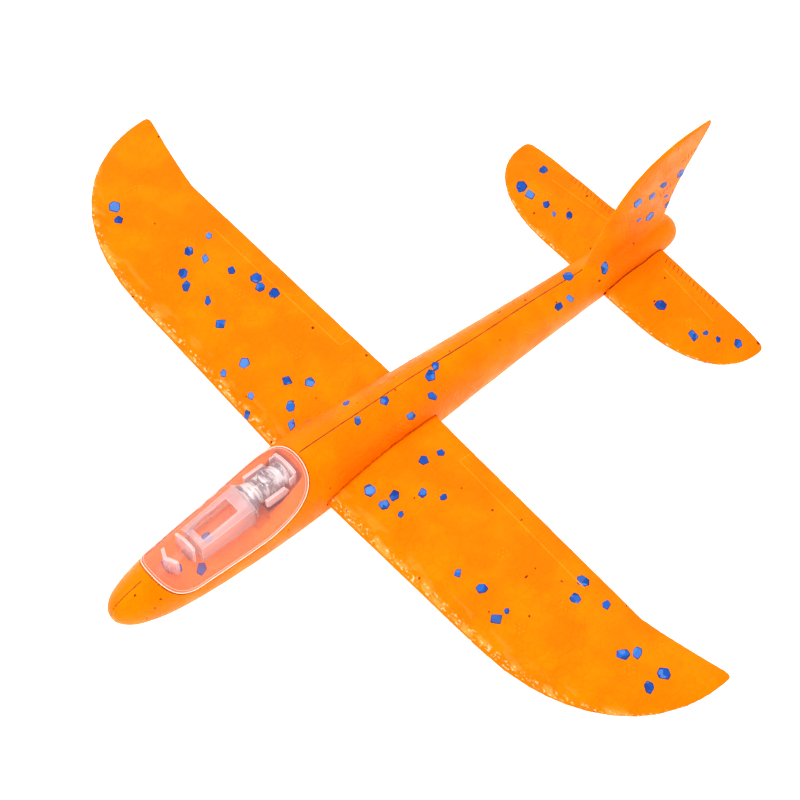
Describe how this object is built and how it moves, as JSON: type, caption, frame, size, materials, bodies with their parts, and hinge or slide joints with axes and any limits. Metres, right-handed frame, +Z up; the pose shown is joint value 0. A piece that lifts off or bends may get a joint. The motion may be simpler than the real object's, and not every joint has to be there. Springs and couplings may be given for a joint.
{
  "type": "foam hand glider",
  "caption": "Hand-launched foam glider with a plug-in wing and tailplane, fixed fin and a lift-off frosted canopy over a small battery lamp.",
  "frame": {"origin": "centre of the glider's plan outline, on the surface that its belly rests on", "axes": "+X forward to the nose, +Y to port, +Z up"},
  "size_m": [0.4316, 0.4838, 0.0874],
  "materials": {
    "fuselage_foam": "moulded bead foam, orange with blue beads",
    "wing_foam": "moulded bead foam, orange with blue beads",
    "tail_foam": "moulded bead foam, orange with blue beads",
    "frosted_canopy": "thin translucent frosted plastic with a bright rim",
    "frosted_inner": "translucent frosted plastic",
    "clear_lamp": "clear polished plastic",
    "nickel": "bright nickel plate",
    "contact_brass": "thin sprung brass",
    "board": "green circuit board",
    "weight_steel": "plain turned steel"
  },
  "bodies": {
    "airframe": {"fuselage": "fuselage_foam", "nose_weight": "weight_steel"},
    "wing": {"wing": "wing_foam"},
    "tailplane": {"tailplane": "tail_foam"},
    "canopy": {"canopy": "frosted_canopy", "lamp_sleeve": "frosted_inner", "middle_clip": "frosted_inner", "front_clip": "frosted_inner", "port_rail": "frosted_inner", "starboard_rail": "frosted_inner", "rear_bracket": "frosted_inner"},
    "lamp": {"lamp_housing": "clear_lamp", "lamp_bezel": "clear_lamp", "rear_contact_spring": "nickel", "button_cell_1": "nickel", "button_cell_2": "nickel", "button_cell_3": "nickel", "contact_strip": "contact_brass", "lamp_board": "board", "led": "clear_lamp"},
    "battery_cap": {"battery_cap": "clear_lamp"},
    "push_button": {"push_button": "clear_lamp"}
  },
  "joints": [
    {"name": "wing_slide", "type": "slide", "parent": "airframe", "child": "wing", "axis": [0, 1, 0], "range_m": [-0.006, 0.006]},
    {"name": "tailplane_slide", "type": "slide", "parent": "airframe", "child": "tailplane", "axis": [0, 1, 0], "range_m": [-0.112, 0.112]},
    {"name": "canopy_lift", "type": "slide", "parent": "airframe", "child": "canopy", "axis": [0, 0, 1], "range_m": [0, 0.03]},
    {"name": "lamp_unclip", "type": "slide", "parent": "canopy", "child": "lamp", "axis": [0, 0, -1], "range_m": [0, 0.003]},
    {"name": "cap_twist", "type": "hinge", "parent": "lamp", "child": "battery_cap", "pos_m": [0.0975, -0.002, 0.0385], "axis": [1, 0, 0], "range_deg": [0, 30]},
    {"name": "button_press", "type": "slide", "parent": "lamp", "child": "push_button", "axis": [0, 0, -1], "range_m": [0, 0.0005], "stiffness_N_per_m": 300, "springref_m": -0.0003}
  ]
}
